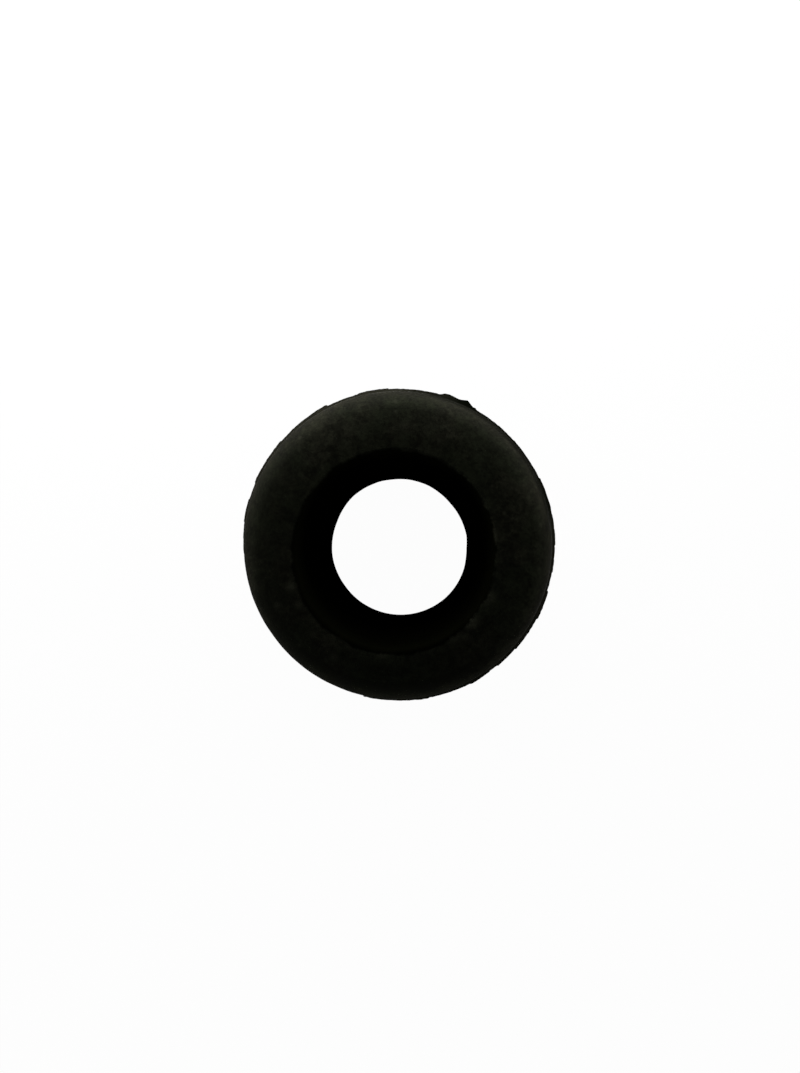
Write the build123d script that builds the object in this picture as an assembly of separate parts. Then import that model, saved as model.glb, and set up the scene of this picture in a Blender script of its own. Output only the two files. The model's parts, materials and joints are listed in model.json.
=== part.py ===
from build123d import *
import os
from math import cos, radians, sin

# Ring buffer, moulded in one piece from black rubber.
# It lies on its seat face with the axis of the ring along +Z, and the origin is at the
# middle of that face. Lengths are in millimetres and angles in degrees. Angles in plan
# run counter-clockwise from +X.

# Ring
body_diameter = 20.0        # across the parting line, flash left out
height = 8.0                # from the seat face to the land round the mouth
parting_share = 0.5         # height of the parting line, as a share of the ring's height
draft_angle = 2.0           # each half of the side leans in from the parting line
seat_rim_radius = 1.0       # lower outer edge
rim_radius = 1.5            # upper outer edge
rim_limit_share = 0.6       # the most of the crown's width that the upper edge may take

# Top face
land_width = 0.7            # flat land round the mouth, before the crown begins
crown_angle = 18.0          # slope of the crown where it meets the upper edge

# Bore
bore_diameter = 9.0         # straight throat, clears an 8 mm bolt
throat_length = 2.4         # from the seat face to the foot of the taper
throat_blend_radius = 1.5   # where the throat turns into the taper
throat_edge_radius = 0.25   # where the throat meets the seat face
mouth_diameter = 12.8       # wide end of the taper, at the land
mouth_edge_radius = 0.3     # where the taper meets the land
core_shift_x = -0.09        # how far the core pin stood off the cavity's centre
core_shift_y = -0.26        # the same, along Y
cut_overrun = 1.0           # how far a cutting tool runs past the ring

# Flash on the parting line
flash_thickness = 0.1
flash_reach = 0.25          # full width of the flash, before trimming
trimmed_share = 0.4         # what trimming left of that width all the way round
# Stretches trimmed less closely: from angle, to angle, share of the full width left
flash_stretch_shares = [
    (94, 105, 0.7),
    (117, 134, 0.95),
    (139, 157, 0.9),
    (163, 172, 0.95),
    (257, 283, 0.8),
    (286, 305, 0.75),
    (318, 331, 0.9),
    (333, 343, 0.95),
    (350, 374, 0.65),
]

# Torn tab of flash
tab_start_angle = 60.4
tab_span_angle = 14.4
tab_reach = 0.39            # furthest that the torn tooth stands out from the body
# Outline of the tab: share of its span, share of its reach
tab_outline_shares = [
    (0.0, 0.15),
    (0.28, 1.0),
    (0.42, 0.68),
    (0.52, 0.62),
    (0.75, 0.77),
    (0.88, 0.68),
    (1.0, 0.25),
]

# Sizes that follow from those above
body_radius = body_diameter / 2
bore_radius = bore_diameter / 2
mouth_radius = mouth_diameter / 2
land_radius = mouth_radius + land_width
parting_height = height * parting_share
draft = radians(draft_angle)
crown_slope = radians(crown_angle)
rim = min(rim_radius, rim_limit_share * (body_radius - land_radius))


def polar(radius, angle):
    """Point in plan at a radius and an angle in degrees."""
    return (radius * cos(radians(angle)), radius * sin(radians(angle)))


def crown_radius():
    """Radius of the crown that meets the land and the upper edge without a corner."""
    reach = (body_radius - land_radius + rim * sin(crown_slope)) * cos(draft)
    lean = (height - rim * cos(crown_slope) - parting_height) * sin(draft)
    turn = sin(crown_slope) * cos(draft) - (1 - cos(crown_slope)) * sin(draft)
    return (reach - lean - rim) / turn


def ring_section():
    """Half section of the ring with its bore still filled, from the axis outwards."""
    seat_lean = (parting_height - seat_rim_radius) * sin(draft)
    seat_radius = body_radius - (seat_lean + seat_rim_radius) / cos(draft)
    seat_rim_end = (
        seat_radius + seat_rim_radius * cos(draft),
        seat_rim_radius - seat_rim_radius * sin(draft),
    )
    crown = crown_radius()
    crown_end = (
        land_radius + crown * sin(crown_slope),
        height - crown * (1 - cos(crown_slope)),
    )
    rim_end = (
        crown_end[0] - rim * sin(crown_slope) + rim * cos(draft),
        crown_end[1] - rim * cos(crown_slope) + rim * sin(draft),
    )

    seat_line = Line((0, 0), (seat_radius, 0))
    seat_rim_arc = TangentArc(seat_line @ 1, seat_rim_end, tangent=seat_line % 1)
    lower_side = Line(seat_rim_arc @ 1, (body_radius, parting_height))
    land_line = Line((0, height), (land_radius, height))
    crown_arc = TangentArc(land_line @ 1, crown_end, tangent=land_line % 1)
    rim_arc = TangentArc(crown_arc @ 1, rim_end, tangent=crown_arc % 1)
    upper_side = Line(rim_arc @ 1, lower_side @ 1)
    axis_line = Line((0, 0), (0, height))
    return make_face(
        [seat_line, seat_rim_arc, lower_side, upper_side, rim_arc, crown_arc, land_line, axis_line]
    )


def ring_blank():
    """The moulded ring before its bore, turned about the axis."""
    return revolve(Plane.XZ * ring_section(), axis=Axis.Z)


def flash_stretch(start_angle, end_angle, radius):
    """Slice of a disc, for one stretch of flash that was left wide."""
    edge = CenterArc((0, 0), radius, start_angle, end_angle - start_angle)
    return make_face([Line((0, 0), edge @ 0), edge, Line(edge @ 1, (0, 0))])


def torn_tab():
    """Ragged tab of flash that tore instead of trimming clean."""
    torn_edge = [
        polar(body_radius + tab_reach * reach, tab_start_angle + tab_span_angle * place)
        for place, reach in tab_outline_shares
    ]
    return make_face(Polyline((0, 0), *torn_edge, close=True))


def flash_plate():
    """Thin plate across the parting line, whose edge stands out of the side as flash."""
    plan = Circle(body_radius + flash_reach * trimmed_share)
    for start_angle, end_angle, share in flash_stretch_shares:
        plan += flash_stretch(start_angle, end_angle, body_radius + flash_reach * share)
    plan += torn_tab()
    return Pos(0, 0, parting_height) * extrude(plan, amount=flash_thickness / 2, both=True)


def bore_core():
    """Core pin that shapes the bore: straight throat, then a taper to the mouth."""
    taper = (mouth_radius - bore_radius) / (height - throat_length)
    top = height + cut_overrun
    outline = FilletPolyline(
        (0, -cut_overrun),
        (bore_radius, -cut_overrun),
        (bore_radius, throat_length),
        (mouth_radius + taper * cut_overrun, top),
        (0, top),
        radius=[0, 0, throat_blend_radius, 0, 0],
        close=True,
    )
    pin = revolve(Plane.XZ * make_face(outline), axis=Axis.Z)
    return Pos(core_shift_x, core_shift_y) * pin


def soften(ring, radius, edge_radius, edge_height):
    """Round the circular edge of the bore that lies at one radius and height."""
    on_edge = (core_shift_x + radius, core_shift_y, edge_height)
    edge = ring.edges().filter_by(GeomType.CIRCLE).sort_by_distance(on_edge)[0]
    return fillet(edge, edge_radius)


def buffer_ring():
    """The whole buffer, one piece of rubber."""
    ring = ring_blank() + flash_plate() - bore_core()
    ring = soften(ring, mouth_radius, mouth_edge_radius, height)
    return soften(ring, bore_radius, throat_edge_radius, 0)


os.makedirs("parts", exist_ok=True)
export_step(buffer_ring(), "parts/buffer_ring.step")
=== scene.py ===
import json
from math import atan2, cos, degrees, hypot, pi, radians, sin, tan

import bmesh
import bpy
from bpy.props import FloatProperty, FloatVectorProperty, IntProperty, PointerProperty
from mathutils import Matrix, Vector, geometry, noise


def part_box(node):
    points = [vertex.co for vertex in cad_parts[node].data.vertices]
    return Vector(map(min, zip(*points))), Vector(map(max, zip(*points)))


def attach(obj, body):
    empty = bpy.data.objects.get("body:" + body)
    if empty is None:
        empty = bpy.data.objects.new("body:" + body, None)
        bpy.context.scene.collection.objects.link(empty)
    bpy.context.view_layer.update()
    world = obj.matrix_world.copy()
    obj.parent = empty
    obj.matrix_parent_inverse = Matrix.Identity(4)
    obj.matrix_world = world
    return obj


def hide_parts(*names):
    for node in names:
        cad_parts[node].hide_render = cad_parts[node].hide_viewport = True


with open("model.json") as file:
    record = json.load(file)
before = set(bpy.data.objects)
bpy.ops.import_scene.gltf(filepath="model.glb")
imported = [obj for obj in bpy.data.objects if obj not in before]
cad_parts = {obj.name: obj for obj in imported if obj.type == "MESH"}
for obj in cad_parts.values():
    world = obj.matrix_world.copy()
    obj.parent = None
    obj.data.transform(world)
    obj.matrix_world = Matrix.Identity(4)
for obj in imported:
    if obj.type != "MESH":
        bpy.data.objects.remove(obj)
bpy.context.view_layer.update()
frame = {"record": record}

bl_info = {
    "name": "Rubber ring buffer",
    "version": (1, 0, 0),
    "blender": (4, 5, 0),
    "location": "3D View > Sidebar > Buffer",
    "description": "Models a moulded rubber ring with torn flash and sets it under soft studio light",
    "category": "Object",
}

MM_PER_METRE = 1000

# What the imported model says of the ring
NODE = "buffer_ring"
BODY = "root"
RING_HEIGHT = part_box(NODE)[1].z
THROAT = next(mount for mount in frame["record"]["mounts"] if mount["name"] == "bolt_throat")
THROAT_DIAMETER = 2 * THROAT["dims"]["r_mm"] / MM_PER_METRE
CORE_SHIFT = (THROAT["pos_m"][0], THROAT["pos_m"][1])

# The photograph's frame, and where the ring lies in it, in pixels
PHOTO_WIDTH, PHOTO_HEIGHT = 800, 1073
RING_CENTRE_PIXEL = (398.7, 544.5)
RING_DIAMETER_PIXELS = 307.2
CAMERA_CLIP_START = 0.01

# Floor: from its middle to its edge, and how far it lies below the seat face, in metres
FLOOR_REACH = 3
FLOOR_DROP = 0.00002

# Sockets of a Mix node that mixes colours
MIX_FACTOR, MIX_FIRST, MIX_SECOND, MIX_RESULT = 0, 6, 7, 2

# Fineness of the ring's mesh, in metres where it is a length
CORNER_SEGMENTS = 8
LONGEST_EDGE = 0.0003
MERGE_DISTANCE = 0.0000005

# Flash left after trimming: from angle, to angle, share of the full width at each end
FLASH_STRETCH_SHARES = [
    (0, 25, 0.7, 0.62),
    (25, 60, 0.41, 0.43),
    (60, 94, 0.67, 0.52),
    (94, 105, 0.72, 0.7),
    (105, 117, 0.5, 0.6),
    (117, 134, 1.0, 0.8),
    (134, 139, 0.72, 0.75),
    (139, 157, 0.88, 0.98),
    (157, 163, 0.74, 0.72),
    (163, 172, 1.0, 0.85),
    (172, 183, 0.7, 0.62),
    (183, 204, 0.5, 0.5),
    (204, 224, 0.38, 0.36),
    (224, 229, 0.54, 0.5),
    (229, 257, 0.36, 0.38),
    (257, 281, 0.74, 0.8),
    (281, 297, 0.7, 0.74),
    (297, 306, 0.92, 0.7),
    (306, 309, 0.58, 0.58),
    (309, 318, 0.84, 0.64),
    (318, 332, 0.92, 0.8),
    (332, 343, 1.06, 0.78),
    (343, 350, 0.45, 0.55),
    (350, 360, 0.72, 0.56),
]

# Torn tab of flash: angle, share of its reach
TORN_TAB_SHARES = [
    (60.4, 0.15),
    (64.4, 1.0),
    (66.4, 0.68),
    (67.9, 0.62),
    (71.2, 0.77),
    (73.1, 0.68),
    (74.8, 0.25),
]

# Raggedness of the flash: waves to the degree, row of the noise, share of the full width
FLASH_RAGGED = [(0.9, 3.1, 0.10), (0.3, 7.7, 0.06)]
TAB_RAGGED_SHARE = 0.3

# Rise and fall of the flash: waves to the degree, row of the noise, share of its thickness
FLASH_LIFT = (0.15, 1.3, 0.5)

# How the throat's edge strays from a true circle: angle, share of the bore's unevenness
THROAT_WANDER_SHARES = [
    (0, -1.1),
    (10, 0.3),
    (20, -0.2),
    (40, -1.1),
    (63, 0.6),
    (95, 0.1),
    (133, 0.9),
    (158, -0.6),
    (188, 0.1),
    (215, -0.8),
    (255, -0.2),
    (310, 0.7),
    (330, 0.1),
    (350, -0.9),
    (360, -1.1),
]

# The same for the mouth's edge: circle and row of the noise, share of the bore's unevenness
MOUTH_WANDER_CIRCLE = 3
MOUTH_WANDER_ROW = 5.5
MOUTH_WANDER_SHARE = 1.6

# Unevenness of the skin: waves to the millimetre, share
SKIN_WAVES = [(0.35, 1.0), (1.1, 0.5)]


def length(name, description, default):
    """A size in metres that the sidebar shows."""
    return FloatProperty(
        name=name, description=description, default=default, unit="LENGTH", precision=5
    )


def turn(name, description, default):
    """An angle that the sidebar shows in degrees."""
    return FloatProperty(
        name=name, description=description, default=radians(default), subtype="ANGLE"
    )


def share(name, description, default):
    """A share from 0 to 1."""
    return FloatProperty(
        name=name, description=description, default=default, min=0, max=1, subtype="FACTOR"
    )


def level(name, description, default):
    """How bright a lamp makes a white card."""
    return FloatProperty(name=name, description=description, default=default, min=0)


def colour(name, description, default):
    """A colour written as linear red, green and blue."""
    return FloatVectorProperty(
        name=name, description=description, default=default, size=3, min=0, max=1, subtype="COLOR"
    )


def count(name, description, default):
    """A number of like things, two or more."""
    return IntProperty(name=name, description=description, default=default, min=2)


class RingSizes(bpy.types.PropertyGroup):
    """Sizes of the moulded ring."""

    body_diameter: length("Body diameter", "Across the parting line, flash left out", 0.0200)
    height: length("Height", "From the seat face to the land", RING_HEIGHT)
    draft: turn("Draft", "Lean of the side from the parting line", 2)
    rim_radius: length("Rim radius", "Upper outer edge", 0.0015)
    seat_rim_radius: length("Seat rim radius", "Lower outer edge", 0.0010)
    land_width: length("Land width", "Flat band round the mouth", 0.0007)
    crown_width: length("Crown width", "From the land to the rounded rim", 0.0018)
    crown_slope: turn("Crown slope", "Slope of the crown at the rim", 18)
    throat_diameter: length("Throat diameter", "Straight part of the bore", THROAT_DIAMETER)
    throat_length: length("Throat length", "From the seat face to the taper", 0.0024)
    throat_blend: length("Throat blend", "Radius from throat to taper", 0.0015)
    throat_edge: length("Throat edge", "Radius where the throat meets the seat", 0.00025)
    mouth_diameter: length("Mouth diameter", "Wide end of the taper", 0.0128)
    mouth_edge: length("Mouth edge", "Radius where the taper meets the land", 0.0003)
    flash_root: length("Flash root", "Thickness of the flash at the side", 0.00012)
    flash_tip: length("Flash tip", "Thickness of the flash at its edge", 0.00005)
    flash_reach: length("Flash reach", "Full width of the flash before trimming", 0.00025)
    tab_reach: length("Tab reach", "Furthest that the torn tab stands out", 0.00039)
    unevenness: length("Unevenness", "How far the skin wanders from true", 0.00003)
    bore_unevenness: length("Bore unevenness", "How far the bore strays from round", 0.00005)
    sectors: count("Sectors", "Like sectors that make up the ring", 24)
    sector_steps: count("Sector steps", "Faces round one sector", 30)


class RubberFinish(bpy.types.PropertyGroup):
    """Colours and gloss of the rubber."""

    rubber: colour("Rubber", "Clean black rubber", (0.0009, 0.0011, 0.0006))
    bloom: colour("Bloom", "Olive film on the skin", (0.0084, 0.0102, 0.0058))
    grey_bloom: colour("Grey bloom", "Film on the side and in patches", (0.0106, 0.0103, 0.0070))
    # This colour of the dusty specks also paints the highlight patches
    dust_and_highlight: colour("Dust", "Specks of dust and worn patches", (0.017, 0.018, 0.012))
    # Painted shade: the bore's two colours are darker than clean rubber and stand in for the shade
    # inside the bore
    bore_shade: colour("Bore wall", "Dull wall that the core pin left", (0.0008, 0.0009, 0.0004))
    bore_shade_bloom: colour("Bore bloom", "Thin film on the bore's wall", (0.0011, 0.0012, 0.0005))
    gleam: colour("Gleam", "Tint of the reflection", (1.0, 0.93, 0.70))
    roughness: share("Roughness", "Roughness of the moulded skin", 0.85)
    # The dull finish covers the bore's wall, the stretch of the side painted with shade, and the torn
    # tab
    dull_roughness: share("Dull roughness", "Roughness of the bore's wall and bare rubber", 0.9)
    gloss: share("Gloss", "Strength of the reflection", 0.03)


class StageLook(bpy.types.PropertyGroup):
    """Floor, light and camera."""

    floor: colour("Floor", "Plain pale floor", (0.9, 0.9, 0.9))
    floor_glow: share("Floor glow", "Share of the floor's look that is plain white", 0.975)
    mirrored_glow: share("Mirrored glow", "The same share where a reflection shows the floor", 0.05)
    fill_level: share("Fill level", "Brightness of the soft light all round", 0.105)
    key_level: level("Key level", "Brightness of a white card that faces the strip lamp", 3.4)
    key_azimuth: turn("Key azimuth", "Where the strip lamp stands, round from +X", 100)
    key_elevation: turn("Key elevation", "Strip lamp above the floor, seen from the ring", 14)
    key_distance: length("Key distance", "From the ring to the strip lamp", 0.042)
    key_width: length("Key width", "Long side of the strip lamp", 0.08)
    key_height: length("Key height", "Short side of the strip lamp", 0.020)
    left_level: level("Left level", "Brightness of a white card that faces the left lamp", 0.72)
    left_azimuth: turn("Left azimuth", "Where the left lamp stands, round from +X", 155)
    right_level: level("Right level", "Brightness of a white card that faces the right lamp", 1.0)
    right_azimuth: turn("Right azimuth", "Where the right lamp stands, round from +X", 30)
    front_level: level("Front level", "Brightness of a white card that faces the front lamp", 0.42)
    front_azimuth: turn("Front azimuth", "Where the front lamp stands, round from +X", 255)
    side_elevation: turn("Side elevation", "Low lamps above the floor, seen from the ring", 5)
    side_distance: length("Side distance", "From the ring to a low lamp", 0.25)
    side_size: length("Side size", "Side of a low lamp's square face", 0.04)
    camera_distance: length("Camera distance", "From the ring to the camera", 0.22)
    camera_lean_x: turn("Camera lean X", "Lean of the view from straight down, towards +X", 2.5)
    camera_lean_y: turn("Camera lean Y", "Lean of the view from straight down, towards +Y", 1.6)


class Value:
    """A number in a material. Python's operators on it add Math nodes."""

    def __init__(self, material, socket):
        self.material = material
        self.socket = socket

    def maths(self, operation, first, second):
        """The result of one Math node."""
        node = self.material.node("ShaderNodeMath", {"operation": operation}, {0: first, 1: second})
        return Value(self.material, node.outputs[0])

    def __add__(self, other):
        return self.maths("ADD", self, other)

    def __radd__(self, other):
        return self.maths("ADD", other, self)

    def __sub__(self, other):
        return self.maths("SUBTRACT", self, other)

    def __rsub__(self, other):
        return self.maths("SUBTRACT", other, self)

    def __mul__(self, other):
        return self.maths("MULTIPLY", self, other)

    def __rmul__(self, other):
        return self.maths("MULTIPLY", other, self)

    def __pow__(self, other):
        return self.maths("POWER", self, other)

    def __abs__(self):
        return self.maths("ABSOLUTE", self, 0)

    def rise(self, band, start=0):
        """0 below a band and 1 above it, smooth between. The band's ends count from the start."""
        low, high = band
        sockets = {"Value": self, "From Min": start + low, "From Max": start + high}
        settings = {"interpolation_type": "SMOOTHSTEP"}
        node = self.material.node("ShaderNodeMapRange", settings, sockets)
        return Value(self.material, node.outputs["Result"])


class Material:
    """A node material, or the world's nodes, built up one node at a time."""

    def __init__(self, owner):
        owner.use_nodes = True
        self.owner = owner
        self.tree = owner.node_tree
        self.tree.nodes.clear()

    def feed(self, socket, given):
        """Link a value or an output to a socket, or set a plain number or colour on it."""
        if isinstance(given, Value):
            given = given.socket
        if isinstance(given, bpy.types.NodeSocket):
            self.tree.links.new(given, socket)
        elif socket.type == "RGBA":
            socket.default_value = (*given[:3], 1)
        else:
            socket.default_value = given

    def node(self, kind, settings=None, sockets=None):
        """Add a node: its settings first, then the values or links of its sockets."""
        node = self.tree.nodes.new(kind)
        for name, setting in (settings or {}).items():
            setattr(node, name, setting)
        for name, given in (sockets or {}).items():
            self.feed(node.inputs[name], given)
        return node

    def value(self, kind, output, settings=None, sockets=None):
        """Add a node and wrap one of its outputs as a value."""
        return Value(self, self.node(kind, settings, sockets).outputs[output])

    def mix(self, amount, first, second):
        """Colour between two colours."""
        sockets = {MIX_FACTOR: amount, MIX_FIRST: first, MIX_SECOND: second}
        return self.node("ShaderNodeMix", {"data_type": "RGBA"}, sockets).outputs[MIX_RESULT]

    def output(self, kind, shader):
        """Show a shader as the material's surface."""
        self.node(kind, {}, {"Surface": shader.outputs[0]})


# Noise patterns: cells to the millimetre, detail, and the noise levels that become 0 and 1
PATCHES = (0.3, 2, (0.42, 0.62))
CLOUDS = (0.9, 6, (0.37, 0.63))
GRAIN = (4.2, 4, (0.38, 0.62))
FLECKS = (1.8, 4, (0.50, 0.64))
NOISE_ROUGHNESS = 0.68

# How far the clouds make circles round the core pin's axis ragged
CORE_RAGGED = 0.14

# Where the finish of the top sets in, from the top's height
UPPER_BAND = (-3, -0.5)


class Skin:
    """Where a point of the ring's skin lies, in millimetres, and the patterns there."""

    def __init__(self, material, sizes):
        self.material = material
        position = material.node("ShaderNodeTexCoord").outputs["Object"]
        sockets = {0: position, "Scale": MM_PER_METRE}
        scaled = material.node("ShaderNodeVectorMath", {"operation": "SCALE"}, sockets)
        self.place = scaled.outputs[0]
        split = material.node("ShaderNodeSeparateXYZ", {}, {0: self.place})
        self.x, self.y, self.z = (Value(material, socket) for socket in split.outputs)
        self.from_middle = (self.x ** 2 + self.y ** 2) ** 0.5

        self.top = sizes.height * MM_PER_METRE
        self.mouth = sizes.mouth_diameter / 2 * MM_PER_METRE
        self.body = sizes.body_diameter / 2 * MM_PER_METRE
        self.upper = self.z.rise(UPPER_BAND, self.top)

        self.patches = self.pattern(PATCHES)
        self.clouds = self.pattern(CLOUDS)
        self.grain = self.pattern(GRAIN)
        self.flecks = self.pattern(FLECKS)

        core_x, core_y = (shift * MM_PER_METRE for shift in CORE_SHIFT)
        from_core = ((self.x - core_x) ** 2 + (self.y - core_y) ** 2) ** 0.5
        self.from_core = from_core + self.clouds * CORE_RAGGED

    def pattern(self, kind):
        """Cloudy noise from 0 to 1."""
        scale, detail, band = kind
        sockets = {
            "Vector": self.place,
            "Scale": scale,
            "Detail": detail,
            "Roughness": NOISE_ROUGHNESS,
        }
        return self.material.value("ShaderNodeTexNoise", "Fac", {}, sockets).rise(band)

    def towards(self, angle):
        """How far a point lies from the middle in one direction."""
        return self.x * cos(angle) + self.y * sin(angle)


# Bloom: how much each pattern adds, its mean, its contrast on the side and what the top adds to that
BLOOM_CLOUDS = 0.45
BLOOM_GRAIN = 0.4
BLOOM_FLECKS = 0.3
BLOOM_MEAN = 0.45
BLOOM_SIDE_CONTRAST = 0.35
BLOOM_TOP_CONTRAST = 0.5


def bloom_share(skin):
    """How much the bloom covers the rubber: mottled on the top, more even on the side."""
    flecks = skin.flecks * skin.patches
    mottle = skin.clouds * BLOOM_CLOUDS + skin.grain * BLOOM_GRAIN + flecks * BLOOM_FLECKS
    contrast = skin.upper * BLOOM_TOP_CONTRAST + BLOOM_SIDE_CONTRAST
    return (mottle - BLOOM_MEAN) * contrast + BLOOM_MEAN


# The bore's dull wall, painted dark as shade: its edge, out from the mouth, and how that moves out
# towards -X and -Y
DULL_BAND = (0.13, 0.37)
DULL_SHIFT_X = 0.008
DULL_SHIFT_Y = 0.020


def outside_bore_share(skin):
    """0 on the bore's dull wall, painted with shade, and 1 on the moulded skin outside it."""
    from_bore = skin.from_core + skin.x * DULL_SHIFT_X + skin.y * DULL_SHIFT_Y
    return from_bore.rise(DULL_BAND, skin.mouth)


# The mouth's edge painted pale, worn by rubbing and with a painted highlight: how far out it lies,
# its fade, where it sets in along Y, its strength
RUBBED_HIGHLIGHT_OUT = 0.25
RUBBED_HIGHLIGHT_FADE = (0.1, 0.5)
RUBBED_HIGHLIGHT_BACK_BAND = (-1, 5)
RUBBED_HIGHLIGHT_STRENGTH = 1.2


def rubbed_highlight_share(skin):
    """How far the mouth's edge is painted pale, worn by rubbing and as a painted highlight, most at
    the back.
    """
    on_edge = 1 - abs(skin.from_core - (skin.mouth + RUBBED_HIGHLIGHT_OUT)).rise(RUBBED_HIGHLIGHT_FADE)
    back = skin.y.rise(RUBBED_HIGHLIGHT_BACK_BAND)
    return on_edge * skin.upper * back * skin.clouds * RUBBED_HIGHLIGHT_STRENGTH


# Painted highlight in patches on the front of the top, most along the mouth's lip: x, y, half size,
# in millimetres
HIGHLIGHT_PATCHES = [
    (5.82, -3.18, 0.60),
    (4.86, -4.72, 0.60),
    (3.58, -5.67, 0.65),
    (2.05, -6.38, 0.45),
    (-0.89, -6.80, 0.40),
    (-2.94, -6.30, 0.30),
    (-3.96, -7.15, 0.35),
    (-5.30, -5.67, 0.25),
    (-6.26, -3.76, 0.30),
    (-6.75, -2.61, 0.35),
    (-7.67, -3.82, 0.30),
]

# Their full middle as a share of the half size, their fade past it, ragged edge and mottling
HIGHLIGHT_CORE = 0.4
HIGHLIGHT_FADE = 0.25
HIGHLIGHT_RAGGED = 0.2
HIGHLIGHT_FLECKS = 0.4
HIGHLIGHT_GRAIN = 0.3
HIGHLIGHT_EVEN = 0.4


def highlight_patch_share(skin):
    """How far the skin is painted pale as a highlight, mottled within each patch."""
    outside_highlight = 1
    for patch_x, patch_y, half_size in HIGHLIGHT_PATCHES:
        sockets = {0: skin.place, 1: (patch_x, patch_y, skin.top)}
        settings = {"operation": "DISTANCE"}
        away = skin.material.value("ShaderNodeVectorMath", "Value", settings, sockets)
        band = (half_size * HIGHLIGHT_CORE, half_size + HIGHLIGHT_FADE)
        outside_highlight = (away + skin.grain * HIGHLIGHT_RAGGED).rise(band) * outside_highlight
    return (1 - outside_highlight) * (skin.flecks * HIGHLIGHT_FLECKS + skin.grain * HIGHLIGHT_GRAIN + HIGHLIGHT_EVEN)


# Specks of dust: cells to the millimetre, which cells have one, and its fade from the middle
SPECK_CELLS = 1.3
SPECK_CHOICE = (0.8, 1.0)
SPECK_FADE = (0.02, 0.30)


def speck_share(skin):
    """Specks of dust on the top, each in the middle of a cell."""
    sockets = {"Vector": skin.place, "Scale": SPECK_CELLS}
    cells = skin.material.node("ShaderNodeTexVoronoi", {}, sockets)
    pick = skin.material.value("ShaderNodeSeparateColor", 0, {}, {0: cells.outputs["Color"]})
    near = 1 - Value(skin.material, cells.outputs["Distance"]).rise(SPECK_FADE)
    return pick.rise(SPECK_CHOICE) * near * skin.upper


# Where the tab tore bare: its direction, its band out from the body, its fade along the edge
TORN_MIDDLE = radians(63.6)
TORN_OUT_BAND = (-0.03, 0.06)
TORN_SIDE_FADE = (0.5, 1.0)


def torn_share(skin):
    """Bare rubber where the tab of flash tore."""
    out = skin.from_middle.rise(TORN_OUT_BAND, skin.body)
    this_side = skin.towards(TORN_MIDDLE).rise((0, skin.body))
    beside = abs(skin.towards(TORN_MIDDLE + pi / 2)).rise(TORN_SIDE_FADE)
    return out * this_side * (1 - beside)


# Painted shade on one stretch of the side and its flash, in dull clean rubber: its direction, half of
# its angle, its ends and its upper edge
SIDE_SHADE_MIDDLE = radians(47)
SIDE_SHADE_HALF_ANGLE = radians(38)
SIDE_SHADE_END_BAND = (-1.0, 2.0)
SIDE_SHADE_END_RAGGED = 1.2
SIDE_SHADE_OUT_BAND = (-0.26, -0.04)
SIDE_SHADE_OUT_RAGGED = 0.05
SIDE_SHADE_STRENGTH = 0.75


def side_shade_share(skin):
    """How far one stretch of the side and its flash is painted with shade in dull clean rubber."""
    shade_from = skin.body * cos(SIDE_SHADE_HALF_ANGLE)
    ends = skin.towards(SIDE_SHADE_MIDDLE) + skin.clouds * SIDE_SHADE_END_RAGGED
    out = skin.from_middle + skin.grain * SIDE_SHADE_OUT_RAGGED
    return out.rise(SIDE_SHADE_OUT_BAND, skin.body) * ends.rise(SIDE_SHADE_END_BAND, shade_from) * SIDE_SHADE_STRENGTH


# Painted shade in an arc inside the rim, towards clean rubber: its direction, how far in it lies, its
# fade and its ends
SHADE_ARC_MIDDLE = radians(255)
SHADE_ARC_IN = 0.75
SHADE_ARC_RAGGED = 0.15
SHADE_ARC_FADE = (0.15, 0.55)
SHADE_ARC_END_BAND = (2.4, 7.0)
SHADE_ARC_STRENGTH = 0.6

# Painted shade on the left of the top, towards clean rubber: its direction, where it sets in, where
# it ends at the rim
LEFT_MIDDLE = radians(180)
LEFT_BAND = (4.5, 7.5)
LEFT_RIM_BAND = (-1.2, -0.5)
LEFT_STRENGTH = 0.35


def shade_arc_share(skin):
    """How far the skin is painted with shade in the arc inside the front rim."""
    out = skin.from_middle + skin.clouds * SHADE_ARC_RAGGED
    inside_rim = 1 - abs(out - (skin.body - SHADE_ARC_IN)).rise(SHADE_ARC_FADE)
    return inside_rim * skin.towards(SHADE_ARC_MIDDLE).rise(SHADE_ARC_END_BAND) * skin.upper * SHADE_ARC_STRENGTH


def left_shade_share(skin):
    """How far the left of the top is painted with shade."""
    inside_rim = 1 - skin.from_middle.rise(LEFT_RIM_BAND, skin.body)
    return skin.towards(LEFT_MIDDLE).rise(LEFT_BAND) * inside_rim * skin.upper * LEFT_STRENGTH


# Grey film: below this band from the top's height, and in so much of the patches above it
GREY_BAND = (-1.4, -0.2)
GREY_PATCHES = 0.6

# How strongly the mouth's edge, worn by rubbing and with its painted highlight, the painted highlight
# patches and the specks show
RUBBED_HIGHLIGHT_TINT = 0.45
HIGHLIGHT_PATCH_TINT = 0.85
SPECK_TINT = 0.5


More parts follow.
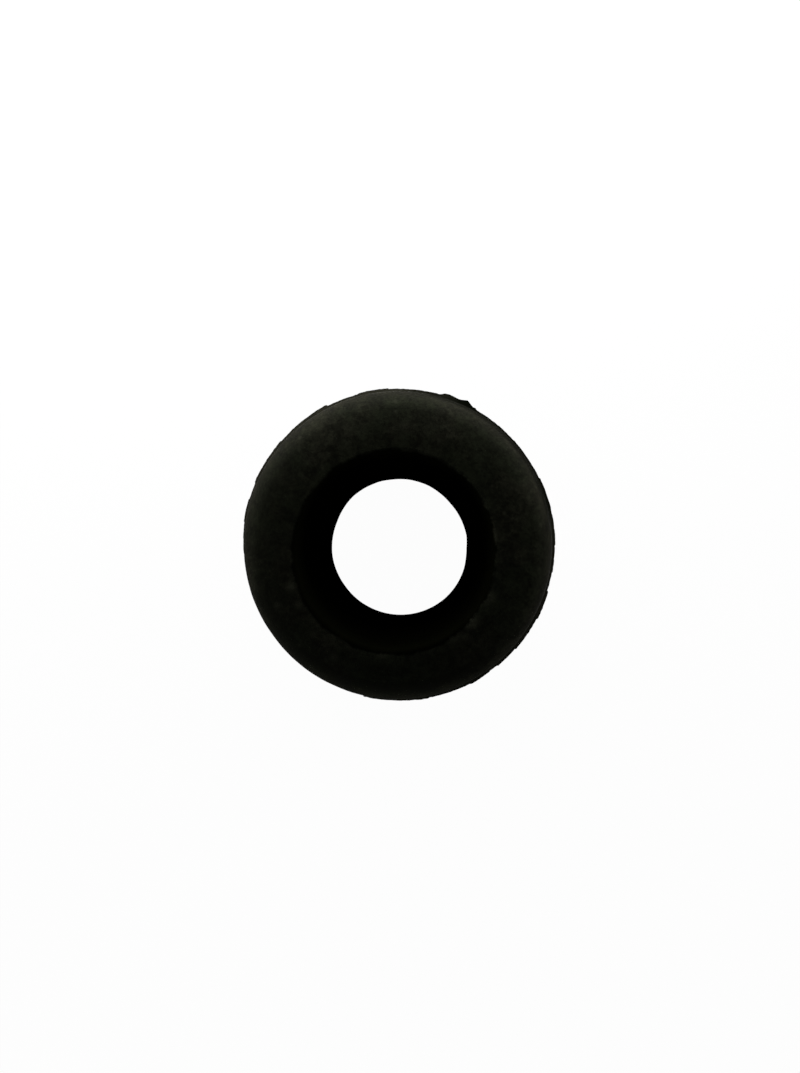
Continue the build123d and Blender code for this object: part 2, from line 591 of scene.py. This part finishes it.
def skin_tint(skin, finish, bloom, rubbed_highlight, specks):
    """Colour of the moulded skin: rubber under a film, dusty in places, painted with shade in places,
    and painted pale as highlights at the mouth's edge and in patches, the edge also worn by rubbing.
    """
    rubber = skin.material
    lower = 1 - skin.z.rise(GREY_BAND, skin.top)
    grey = skin.patches * GREY_PATCHES * (1 - lower) + lower
    film = rubber.mix(grey, finish.bloom, finish.grey_bloom)
    tint = rubber.mix(bloom, finish.rubber, film)
    # Mouth's edge: wear from rubbing and a painted highlight
    tint = rubber.mix(rubbed_highlight * RUBBED_HIGHLIGHT_TINT, tint, film)
    # Painted shade in the arc inside the front rim
    tint = rubber.mix(shade_arc_share(skin), tint, finish.rubber)
    # Painted shade on the left of the top
    tint = rubber.mix(left_shade_share(skin), tint, finish.rubber)
    # Painted highlight in patches along the mouth's lip
    tint = rubber.mix(highlight_patch_share(skin) * HIGHLIGHT_PATCH_TINT, tint, finish.dust_and_highlight)
    return rubber.mix(specks * SPECK_TINT, tint, finish.dust_and_highlight)


# How far the patterns change the roughness, and how they make up the relief
ROUGH_CLOUDS = 0.1
ROUGH_GRAIN = 0.06
ROUGH_RUBBED_HIGHLIGHT = -0.04
RELIEF_CLOUDS = 0.7
RELIEF_GRAIN = 0.3
RELIEF_SPECKS = 0.5
RELIEF_STRENGTH = 0.35
RELIEF_HEIGHT = 0.00002


def rubber_material(sizes, finish):
    """Olive-black moulded rubber with bloom, dusty specks, painted highlights, painted shade on the
    top and on one stretch of the side, a dull bore painted with shade, and a bare torn tab.
    """
    rubber = Material(bpy.data.materials.new("moulded_rubber"))
    skin = Skin(rubber, sizes)
    bloom = bloom_share(skin)
    rubbed_highlight = rubbed_highlight_share(skin)
    outside_bore = outside_bore_share(skin)
    specks = speck_share(skin) * outside_bore

    varied = skin.clouds * ROUGH_CLOUDS + skin.grain * ROUGH_GRAIN + rubbed_highlight * ROUGH_RUBBED_HIGHLIGHT
    relief = skin.clouds * RELIEF_CLOUDS + skin.grain * RELIEF_GRAIN + specks * RELIEF_SPECKS
    bump = rubber.node("ShaderNodeBump", {}, {
        "Strength": RELIEF_STRENGTH,
        "Distance": RELIEF_HEIGHT,
        "Height": relief,
    })
    moulded = rubber.node("ShaderNodeBsdfPrincipled", {}, {
        "Base Color": skin_tint(skin, finish, bloom, rubbed_highlight, specks),
        "Roughness": varied + (finish.roughness - (ROUGH_CLOUDS + ROUGH_GRAIN) / 2),
        "Specular IOR Level": finish.gloss,
        "Specular Tint": finish.gleam,
        "Normal": bump.outputs[0],
    })
    # Painted shade in the bore: its wall takes the darker bore colours
    bore_shade_tint = rubber.mix(bloom, finish.bore_shade, finish.bore_shade_bloom)
    dull = rubber.node("ShaderNodeBsdfPrincipled", {}, {
        "Base Color": rubber.mix(outside_bore, bore_shade_tint, finish.rubber),
        "Roughness": finish.dull_roughness,
        "Specular IOR Level": 0.0,
        "Normal": bump.outputs[0],
    })
    # Moulded skin everywhere but the bore and the side's stretch, both painted with shade, and the
    # torn tab
    unshaded_skin = outside_bore * (1 - side_shade_share(skin)) * (1 - torn_share(skin))
    sockets = {0: unshaded_skin, 1: dull.outputs[0], 2: moulded.outputs[0]}
    rubber.output("ShaderNodeOutputMaterial", rubber.node("ShaderNodeMixShader", {}, sockets))
    return rubber.owner


def new_piece(name, shape, material):
    """Turn a bmesh into an object at the origin with one material."""
    mesh = bpy.data.meshes.new(name)
    shape.to_mesh(mesh)
    shape.free()
    mesh.materials.append(material)
    piece = bpy.data.objects.new(name, mesh)
    bpy.context.scene.collection.objects.link(piece)
    return piece


def ring_corners(sizes):
    """Corners of the ring's half section and their radii, from the throat's foot outwards."""
    body = sizes.body_diameter / 2
    throat = sizes.throat_diameter / 2
    mouth = sizes.mouth_diameter / 2
    parting = sizes.height / 2
    side_end = body - parting * tan(sizes.draft)
    crown_start = mouth + sizes.land_width + sizes.crown_width / 2
    crown_fall = (body - crown_start) * tan(sizes.crown_slope)
    crown = Vector((crown_start, 0, sizes.height))
    crown_end = Vector((body, 0, sizes.height - crown_fall))
    side_foot = Vector((body, 0, parting))
    side_top = Vector((side_end, 0, sizes.height))
    rim = geometry.intersect_line_line(crown, crown_end, side_foot, side_top)[0]
    crown_radius = sizes.crown_width / 2 / tan(sizes.crown_slope / 2)
    return [
        (throat, 0, sizes.throat_edge),
        (side_end, 0, sizes.seat_rim_radius),
        (body, parting - sizes.flash_root / 2, 0),
        (body + sizes.flash_reach, parting - sizes.flash_tip / 2, 0),
        (body + sizes.flash_reach, parting + sizes.flash_tip / 2, 0),
        (body, parting + sizes.flash_root / 2, 0),
        (rim.x, rim.z, sizes.rim_radius),
        (crown_start, sizes.height, crown_radius),
        (mouth, sizes.height, sizes.mouth_edge),
        (throat, sizes.throat_length, sizes.throat_blend),
    ]


def round_corner(shape, corner, radius):
    """Round one corner of a wire to a radius."""
    first, second = (edge.other_vert(corner).co - corner.co for edge in corner.link_edges)
    bend = pi - first.angle(second)
    bmesh.ops.bevel(
        shape, geom=[corner], offset=radius * tan(bend / 2), offset_type="OFFSET",
        segments=CORNER_SEGMENTS, profile=0.5, affect="VERTICES", material=-1,
    )


def divide_edges(shape):
    """Cut each edge of a wire that is too long."""
    for edge in list(shape.edges):
        cuts = int(edge.calc_length() / LONGEST_EDGE)
        if cuts:
            bmesh.ops.subdivide_edges(shape, edges=[edge], cuts=cuts)


def draw_section(shape, sizes):
    """Draw the ring's half section as a closed wire with rounded corners."""
    rows = ring_corners(sizes)
    corners = [shape.verts.new((radius, 0, height)) for radius, height, _ in rows]
    for first, second in zip(corners, corners[1:] + corners[:1]):
        shape.edges.new((first, second))
    for corner, (_, _, radius) in zip(corners, rows):
        if radius:
            round_corner(shape, corner, radius)
    divide_edges(shape)


def turn_section(shape, sectors, sector_steps):
    """Turn a section once round the axis: first one sector, then copies of it."""
    sector = 2 * pi / sectors
    bmesh.ops.spin(
        shape, geom=shape.verts[:] + shape.edges[:], cent=(0, 0, 0), axis=(0, 0, 1),
        angle=sector, steps=sector_steps,
    )
    bmesh.ops.spin(
        shape, geom=shape.verts[:] + shape.edges[:] + shape.faces[:],
        cent=(0, 0, 0), axis=(0, 0, 1),
        angle=2 * pi - sector, steps=sectors - 1, use_duplicate=True,
    )
    bmesh.ops.remove_doubles(shape, verts=shape.verts, dist=MERGE_DISTANCE)
    bmesh.ops.recalc_face_normals(shape, faces=shape.faces)
    sort_faces(shape)


def sort_faces(shape):
    """Sort the faces by their corners' numbers, because spin's order differs from run to run."""
    shape.verts.index_update()
    total = len(shape.verts)

    def rank(face):
        first, second, third = sorted(vert.index for vert in face.verts)[:3]
        return (first * total + second) * total + third

    shape.faces.sort(key=rank)


def between(table, place):
    """Read a table of (place, amount) at a place, straight between its rows, or 0 outside it."""
    for (low, first), (high, second) in zip(table, table[1:]):
        if low <= place <= high:
            return first + (second - first) * (place - low) / (high - low)
    return 0


def smooth_share(value, low, high):
    """0 below low, 1 above high, smooth between."""
    step = min(max((value - low) / (high - low), 0), 1)
    return step * step * (3 - 2 * step)


def angle_noise(angle, waves, row):
    """Noise along the flash at an angle in degrees."""
    return noise.noise(Vector((angle * waves, row, 0)))


def flash_width(sizes, angle):
    """How far the flash stands out at an angle in degrees."""
    ragged = sum(angle_noise(angle, waves, row) * part for waves, row, part in FLASH_RAGGED)
    left = 0
    for start, end, first, second in FLASH_STRETCH_SHARES:
        if start <= angle < end:
            left = first + (second - first) * (angle - start) / (end - start)
    width = sizes.flash_reach * (left + ragged)
    tab = between(TORN_TAB_SHARES, angle)
    if not tab:
        return max(width, 0)
    return max(width, sizes.tab_reach * (tab + ragged * TAB_RAGGED_SHARE))


def shape_flash(shape, sizes):
    """Trim the even flash to its ragged width, and let it rise and fall a little."""
    body = sizes.body_diameter / 2
    just_outside = body + sizes.flash_tip / 10
    lift_waves, lift_row, lift_share = FLASH_LIFT
    for vert in shape.verts:
        radius = hypot(vert.co.x, vert.co.y)
        if radius > just_outside:
            angle = degrees(atan2(vert.co.y, vert.co.x)) % 360
            width = flash_width(sizes, angle)
            new_radius = body + (radius - body) * width / sizes.flash_reach
            vert.co.xy *= new_radius / radius
            vert.co.z += sizes.flash_root * lift_share * angle_noise(angle, lift_waves, lift_row)


def bore_wander(sizes, angle, height):
    """How far the bore's wall strays outwards at an angle in degrees and a height."""
    around = radians(angle)
    circle = MOUTH_WANDER_CIRCLE
    mouth_place = Vector((circle * cos(around), circle * sin(around), MOUTH_WANDER_ROW))
    at_mouth = MOUTH_WANDER_SHARE * noise.noise(mouth_place)
    at_throat = between(THROAT_WANDER_SHARES, angle)
    up = height / sizes.height
    return sizes.bore_unevenness * (at_throat * (1 - up) + at_mouth * up)


def shift_bore(shape, sizes):
    """Move the bore off the ring's centre and out of true, fading out across top and seat."""
    throat = sizes.throat_diameter / 2
    mouth = sizes.mouth_diameter / 2
    crown_end = mouth + sizes.land_width + sizes.crown_width
    for vert in shape.verts:
        radius = hypot(vert.co.x, vert.co.y)
        angle = degrees(atan2(vert.co.y, vert.co.x)) % 360
        on_seat = vert.co.z < sizes.throat_edge / 2
        start = throat + sizes.throat_edge if on_seat else mouth + sizes.mouth_edge
        keep = 1 - smooth_share(radius, start, crown_end)
        stretch = keep * bore_wander(sizes, angle, vert.co.z) / radius
        vert.co.x += CORE_SHIFT[0] * keep + vert.co.x * stretch
        vert.co.y += CORE_SHIFT[1] * keep + vert.co.y * stretch


def roughen_skin(shape, sizes):
    """Let the moulded skin wander a little from true, except on the seat face."""
    shape.normal_update()
    moves = []
    for vert in shape.verts:
        place = vert.co * MM_PER_METRE
        wander = sum(part * noise.noise(place * waves) for waves, part in SKIN_WAVES)
        free = smooth_share(vert.co.z, 0, sizes.seat_rim_radius)
        moves.append(vert.normal * wander * sizes.unevenness * free)
    for vert, move in zip(shape.verts, moves):
        vert.co += move


class BUFFER_OT_model_ring(bpy.types.Operator):
    """Model the moulded ring with its flash and give it its rubber finish"""

    bl_idname = "buffer.model_ring"
    bl_label = "Model ring"

    def execute(self, context):
        sizes = context.scene.ring_sizes
        shape = bmesh.new()
        draw_section(shape, sizes)
        turn_section(shape, sizes.sectors, sizes.sector_steps)
        shape_flash(shape, sizes)
        shift_bore(shape, sizes)
        roughen_skin(shape, sizes)
        rubber = rubber_material(sizes, context.scene.rubber_finish)
        ring = new_piece("rubber_ring", shape, rubber)
        ring.data.shade_smooth()
        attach(ring, BODY)
        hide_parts(NODE)
        return {"FINISHED"}


def white_share(material, look):
    """How far the floor or the air turns white: most to the camera, a little in reflections."""
    rays = material.node("ShaderNodeLightPath").outputs
    kinds = ("Is Camera Ray", "Is Glossy Ray", "Is Transmission Ray")
    camera, glossy, through = (Value(material, rays[kind]) for kind in kinds)
    return camera * look.floor_glow + (glossy + through) * look.mirrored_glow


def floor_material(look):
    """Pale floor that looks almost white to the camera and keeps the ring's shadow."""
    floor = Material(bpy.data.materials.new("pale_floor"))
    paint = floor.node("ShaderNodeBsdfDiffuse", {}, {"Color": look.floor})
    white = floor.node("ShaderNodeEmission", {}, {"Color": (1, 1, 1), "Strength": 1.0})
    both = floor.node("ShaderNodeMixShader", {}, {
        0: white_share(floor, look),
        1: paint.outputs[0],
        2: white.outputs[0],
    })
    floor.output("ShaderNodeOutputMaterial", both)
    return floor.owner


def pointed(name, data, place, target, upward):
    """Add a lamp or camera at a place, pointed at a target, with one direction up in its view."""
    back = (place - target).normalized()
    right = upward.cross(back).normalized()
    thing = bpy.data.objects.new(name, data)
    facing = Matrix((right, back.cross(right), back)).transposed()
    thing.matrix_world = Matrix.Translation(place) @ facing.to_4x4()
    bpy.context.scene.collection.objects.link(thing)
    return thing


def set_floor(look):
    """A wide plain floor just under the seat face."""
    shape = bmesh.new()
    bmesh.ops.create_grid(shape, x_segments=1, y_segments=1, size=FLOOR_REACH)
    bmesh.ops.translate(shape, verts=shape.verts, vec=(0, 0, -FLOOR_DROP))
    new_piece("floor", shape, floor_material(look))


def add_lamp(name, brightness, azimuth, elevation, distance, width, height):
    """Add a soft lamp that faces the ring and doesn't show in the picture."""
    lamp = bpy.data.lights.new(name, "AREA")
    lamp.shape = "RECTANGLE"
    lamp.size = width
    lamp.size_y = height
    lamp.energy = brightness * (pi * distance) ** 2
    along = distance * cos(elevation)
    place = Vector((along * cos(azimuth), along * sin(azimuth), distance * sin(elevation)))
    pointed(name, lamp, place, Vector((0, 0, 0)), Vector((0, 0, 1))).visible_camera = False


def set_light(look):
    """A low strip lamp close behind the ring, three low lamps and a little light all round."""
    world = bpy.data.worlds.new("studio")
    bpy.context.scene.world = world
    air = Material(world)
    strength = white_share(air, look) * (1 - look.fill_level) + look.fill_level
    glow = air.node("ShaderNodeBackground", {}, {"Color": (1, 1, 1), "Strength": strength})
    air.output("ShaderNodeOutputWorld", glow)

    add_lamp(
        "strip", look.key_level, look.key_azimuth, look.key_elevation,
        look.key_distance, look.key_width, look.key_height,
    )
    low_lamps = (
        ("left", look.left_level, look.left_azimuth),
        ("right", look.right_level, look.right_azimuth),
        ("front", look.front_level, look.front_azimuth),
    )
    for name, brightness, azimuth in low_lamps:
        add_lamp(
            name, brightness, azimuth, look.side_elevation,
            look.side_distance, look.side_size, look.side_size,
        )


def set_camera(look, sizes):
    """Camera at the photograph's angle, with the ring where the photograph has it."""
    metres_per_pixel = sizes.body_diameter / RING_DIAMETER_PIXELS
    aim = Vector((
        (PHOTO_WIDTH / 2 - RING_CENTRE_PIXEL[0]) * metres_per_pixel,
        (RING_CENTRE_PIXEL[1] - PHOTO_HEIGHT / 2) * metres_per_pixel,
        sizes.height / 2,
    ))
    view = Vector((tan(look.camera_lean_x), tan(look.camera_lean_y), 1)).normalized()
    camera = bpy.data.cameras.new("camera")
    camera.sensor_fit = "HORIZONTAL"
    camera.lens = camera.sensor_width * look.camera_distance / (PHOTO_WIDTH * metres_per_pixel)
    camera.clip_start = CAMERA_CLIP_START
    place = aim + view * look.camera_distance
    bpy.context.scene.camera = pointed("camera", camera, place, aim, Vector((0, 1, 0)))


class BUFFER_OT_set_stage(bpy.types.Operator):
    """Set the floor, the light and the camera"""

    bl_idname = "buffer.set_stage"
    bl_label = "Set stage"

    def execute(self, context):
        look = context.scene.stage_look
        set_floor(look)
        set_light(look)
        set_camera(look, context.scene.ring_sizes)
        context.scene.view_settings.view_transform = "Standard"
        return {"FINISHED"}


class BUFFER_PT_sidebar(bpy.types.Panel):
    """Sizes, colours and operators of the buffer"""

    bl_label = "Rubber buffer"
    bl_space_type = "VIEW_3D"
    bl_region_type = "UI"
    bl_category = "Buffer"

    def draw(self, context):
        scene = context.scene
        for group in (scene.ring_sizes, scene.rubber_finish, scene.stage_look):
            box = self.layout.box()
            for name in group.__annotations__:
                box.prop(group, name)
        self.layout.operator(BUFFER_OT_model_ring.bl_idname)
        self.layout.operator(BUFFER_OT_set_stage.bl_idname)


CLASSES = (
    RingSizes,
    RubberFinish,
    StageLook,
    BUFFER_OT_model_ring,
    BUFFER_OT_set_stage,
    BUFFER_PT_sidebar,
)


def register():
    """Add the classes and the scene's settings."""
    for each in CLASSES:
        bpy.utils.register_class(each)
    bpy.types.Scene.ring_sizes = PointerProperty(type=RingSizes)
    bpy.types.Scene.rubber_finish = PointerProperty(type=RubberFinish)
    bpy.types.Scene.stage_look = PointerProperty(type=StageLook)


def unregister():
    """Take the scene's settings and the classes away again."""
    del bpy.types.Scene.stage_look
    del bpy.types.Scene.rubber_finish
    del bpy.types.Scene.ring_sizes
    for each in reversed(CLASSES):
        bpy.utils.unregister_class(each)


def main():
    register()
    bpy.ops.buffer.model_ring()
    bpy.ops.buffer.set_stage()


if __name__ == "__main__":
    main()
